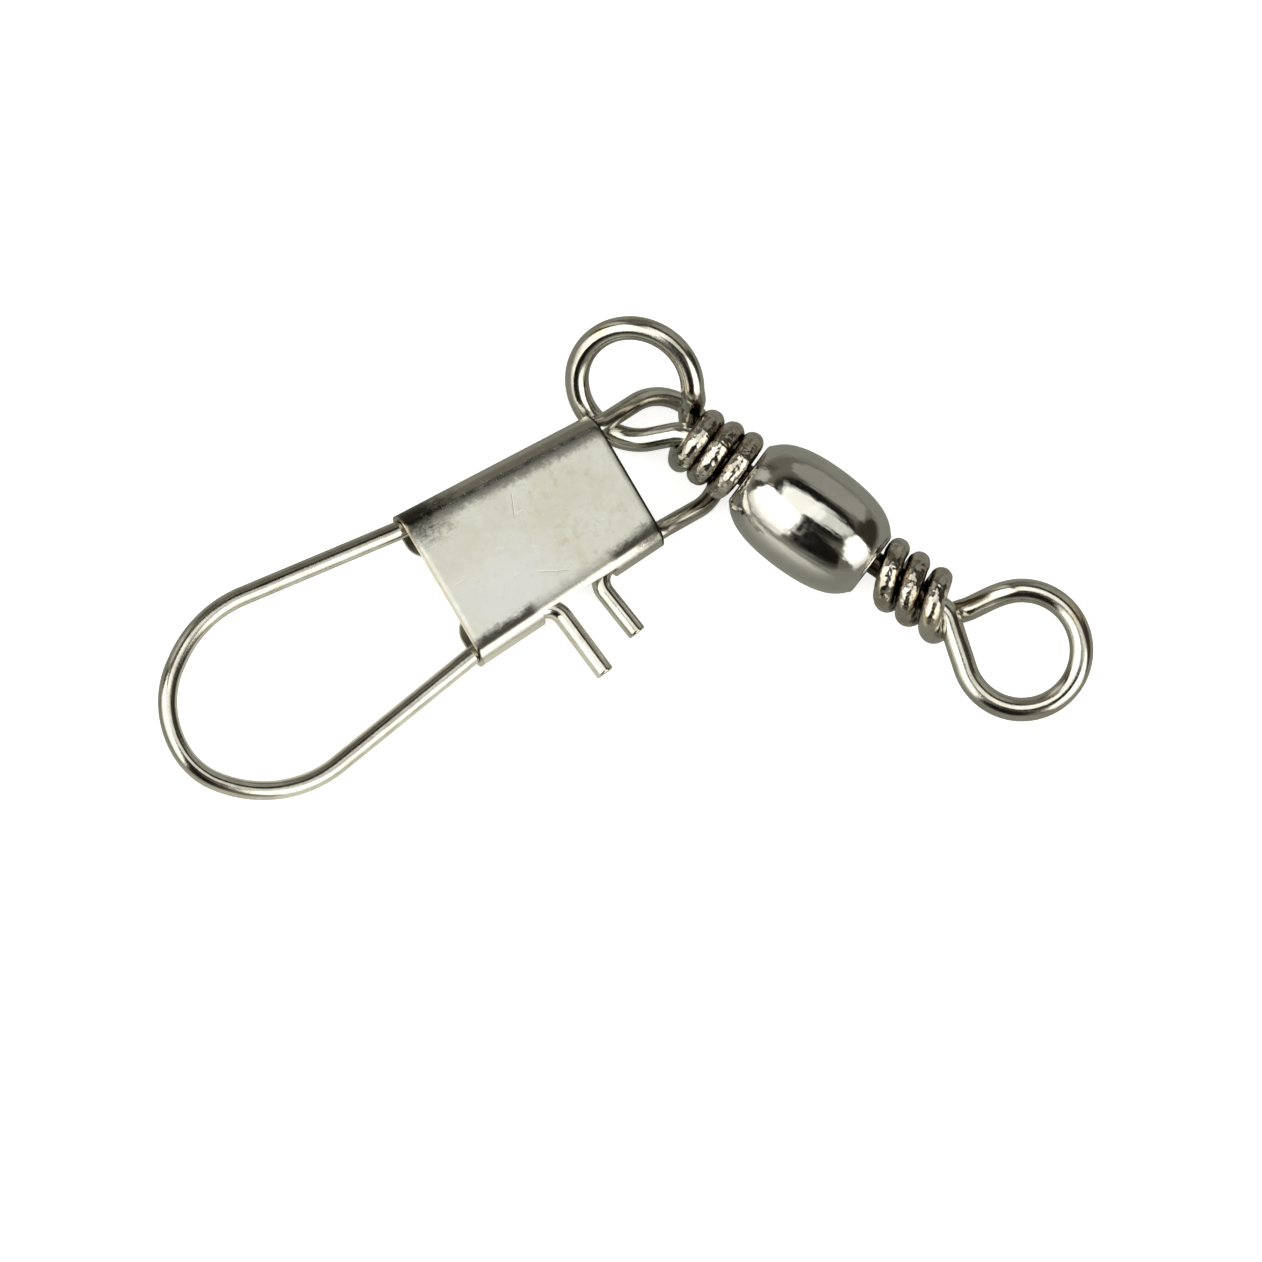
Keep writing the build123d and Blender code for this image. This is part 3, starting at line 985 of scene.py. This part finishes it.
def floor_material():
    material, nodes = new_material("floor_white")
    white_paint = nodes.add("ShaderNodeBsdfDiffuse", {"Color": rgb(0.8, 0.8, 0.8)})
    lift = nodes.add("ShaderNodeEmission", {"Color": rgb(1, 1, 1), "Strength": FLOOR_LIFT})
    seen = nodes.add("ShaderNodeAddShader", {0: white_paint.outputs[0], 1: lift.outputs[0]})
    dim_paint = nodes.add("ShaderNodeBsdfDiffuse", {"Color": rgb(0.2, 0.2, 0.175)})
    from_pool = {0: nodes.own_millimetres(), 1: POOL_CENTRE}
    away = nodes.add("ShaderNodeVectorMath", from_pool, operation="DISTANCE").outputs["Value"]
    pool = nodes.ramp(away, POOL_EDGE, POOL_CORE, POOL_EDGE_LIGHT, POOL_CORE_LIGHT)
    pool_light = nodes.add("ShaderNodeEmission", {"Color": rgb(1, 1, 0.89), "Strength": pool})
    reflected = nodes.add("ShaderNodeAddShader", {0: dim_paint.outputs[0], 1: pool_light.outputs[0]})
    to_camera = nodes.add("ShaderNodeLightPath").outputs["Is Camera Ray"]
    chosen = nodes.add("ShaderNodeMixShader", {0: to_camera, 1: reflected.outputs[0], 2: seen.outputs[0]})
    nodes.add("ShaderNodeOutputMaterial", {"Surface": chosen.outputs[0]})
    return material


floor_mesh = bmesh.new()
bmesh.ops.create_grid(floor_mesh, x_segments=1, y_segments=1, size=FLOOR_HALF_WIDTH)
floor = finish_mesh("floor", floor_mesh, Matrix.Identity(4), smooth=False)
floor.data.materials.append(floor_material())


# Studio: the room as the metal sees it, laid out flat. In this map a direction lies as many degrees from
# the middle as it leans from straight up, on the side it leans to, so X and Y are degrees along the axes.
ROOM_DARK = rgb(0.012, 0.01, 0.008)
ROOM_HAZE = rgb(0.2, 0.185, 0.15)
HORIZON = rgb(0.34, 0.335, 0.29)
SOFTBOX_HIGH = rgb(2.3, 2.26, 2.1)
SOFTBOX_LOW = rgb(1.0, 0.98, 0.88)
SOFTBOX_EDGE = 2.5
RIPPLE = 9.0
# Outline, softness of its edge and colour of each thing round the table, the later ones over the earlier
dim_right_back = ([(28, 14), (94, 12), (84, 46), (46, 70), (30, 62)], 5, rgb(0.05, 0.042, 0.03))
dim_left_back = ([(-50, 22), (-46, 34), (-72, 46), (-84, 34)], 5, rgb(0.1, 0.09, 0.07))
dim_left = ([(-97, -18), (-76, -26), (-48, -14), (-42, -6), (-56, -4), (-96, -4)], 4, rgb(0.07, 0.06, 0.045))
grey_back = (
    [(24, 78), (-8, 80), (-26, 60), (-24, 42), (-4, 35), (28, 39), (33, 56)],
    3,
    rgb(0.42, 0.41, 0.36),
)
pale_left = ([(-84, 28), (-92, 20), (-88, -2), (-56, -4), (-48, 8), (-60, 20)], 4, rgb(0.7, 0.68, 0.62))
black_front = (
    [
        (-7, -60),
        (-14, -97),
        (30, -94),
        (52, -80),
        (62, -50),
        (44, -45),
        (28, -28),
        (20, -6),
        (0, -8),
        (-2, -28),
    ],
    3,
    ROOM_DARK,
)
dim_front = ([(46, -46), (74, -48), (66, -74), (50, -78)], 6, rgb(0.1, 0.085, 0.06))
overhead = ([(-24, 12), (-25, -6), (-18, -25), (-12, -27), (8, -15), (6, 14)], 2.5, rgb(1.6, 1.6, 1.5))
overhead_right = ([(5, 14), (7, -15), (22, -11), (27, -2), (26, 11)], 2.5, rgb(1.08, 1.08, 1.0))
surround = (
    dim_right_back,
    dim_left_back,
    dim_left,
    grey_back,
    pale_left,
    black_front,
    dim_front,
    overhead,
    overhead_right,
)
front_softbox = [(-44, -7), (-98, -55), (-98, -78), (-60, -97), (-16, -97), (-6, -60), (-1, -30), (-22, -14)]
right_softbox = [(32, 10), (27, -8), (32, -28), (44, -44), (82, -41), (112, -36), (106, 2), (92, 9)]

world = bpy.data.worlds.new("studio")
bpy.context.scene.world = world
world.use_nodes = True
nodes = Nodes(world.node_tree)
toward = nodes.add("ShaderNodeTexCoord").outputs["Generated"]
parts = nodes.xyz(toward)
lean = nodes.times(nodes.calc("ARCCOSINE", parts["Z"]), math.degrees(1))
# How far the direction reaches sideways, and never quite nothing, because it divides
level = nodes.most(nodes.calc("SQRT", nodes.minus(1.0, nodes.calc("POWER", parts["Z"], 2.0))), 1e-4)
ripple = nodes.times(nodes.minus(nodes.noise(toward, 5.0, 3.0), 0.5), RIPPLE)
map_x = nodes.plus(nodes.over(nodes.times(lean, parts["X"]), level), ripple)
map_y = nodes.minus(nodes.over(nodes.times(lean, parts["Y"]), level), ripple)


def weighed(value, weight, added):
    """value times weight, plus added."""
    inputs = {0: value, 1: weight, 2: added}
    return nodes.add("ShaderNodeMath", inputs, operation="MULTIPLY_ADD").outputs[0]


def patch(corners, soft):
    """1 inside a convex outline of the flat map, given anticlockwise, and 0 outside, over a soft edge."""
    depths = []
    for (ax, ay), (bx, by) in zip(corners, corners[1:] + corners[:1]):
        length = math.hypot(bx - ax, by - ay)
        nx, ny = (ay - by) / length, (bx - ax) / length
        depths.append(weighed(map_y, ny, weighed(map_x, nx, -(ax * nx + ay * ny))))
    return nodes.ramp(nodes.least(*depths), -soft, soft)


room = nodes.mix(nodes.ramp(lean, 27, 44), ROOM_DARK, ROOM_HAZE)
for corners, soft, colour in surround:
    room = nodes.mix(patch(corners, soft), room, colour)
room = nodes.mix(nodes.ramp(lean, 74, 92, 0.0, 0.8), room, HORIZON)
softbox_colour = nodes.mix(nodes.ramp(lean, 60, 92), SOFTBOX_HIGH, SOFTBOX_LOW)
for corners in (front_softbox, right_softbox):
    room = nodes.mix(patch(corners, SOFTBOX_EDGE), room, softbox_colour)
surroundings = nodes.add("ShaderNodeBackground", {"Color": room, "Strength": 1.0})
white = nodes.add("ShaderNodeBackground", {"Color": rgb(1, 1, 1), "Strength": 1.0})
camera_ray = nodes.add("ShaderNodeLightPath").outputs["Is Camera Ray"]
both = nodes.add("ShaderNodeMixShader", {0: camera_ray, 1: surroundings.outputs[0], 2: white.outputs[0]})
nodes.add("ShaderNodeOutputWorld", {"Surface": both.outputs[0]})


# Camera: looks down on the side the swivel leans to, rolled so that the swivel's axis falls to the right
ROLL = 34.2
SENSOR_WIDTH = 36
IMAGE_WIDTH_PIXELS = 1262
PIXELS_PER_MM = 24
DISTANCE = 700
IMAGE_CENTRE = (-3.545, -8.05, 0)

lens_data = bpy.data.cameras.new("camera")
lens_data.type = "PERSP"
lens_data.sensor_width = SENSOR_WIDTH
lens_data.lens = SENSOR_WIDTH * DISTANCE * PIXELS_PER_MM / IMAGE_WIDTH_PIXELS
lens_data.clip_start = 0.01
lens_data.clip_end = 10
camera = bpy.data.objects.new("camera", lens_data)
bpy.context.scene.collection.objects.link(camera)
over_image = Matrix.Translation(IMAGE_CENTRE) @ turn(ROLL, "Z") @ Matrix.Translation((0, 0, DISTANCE))
placed = camera_side @ over_image
placed.translation = placed.translation * MM
camera.matrix_world = placed
bpy.context.scene.camera = camera
bpy.context.scene.view_settings.view_transform = "Standard"
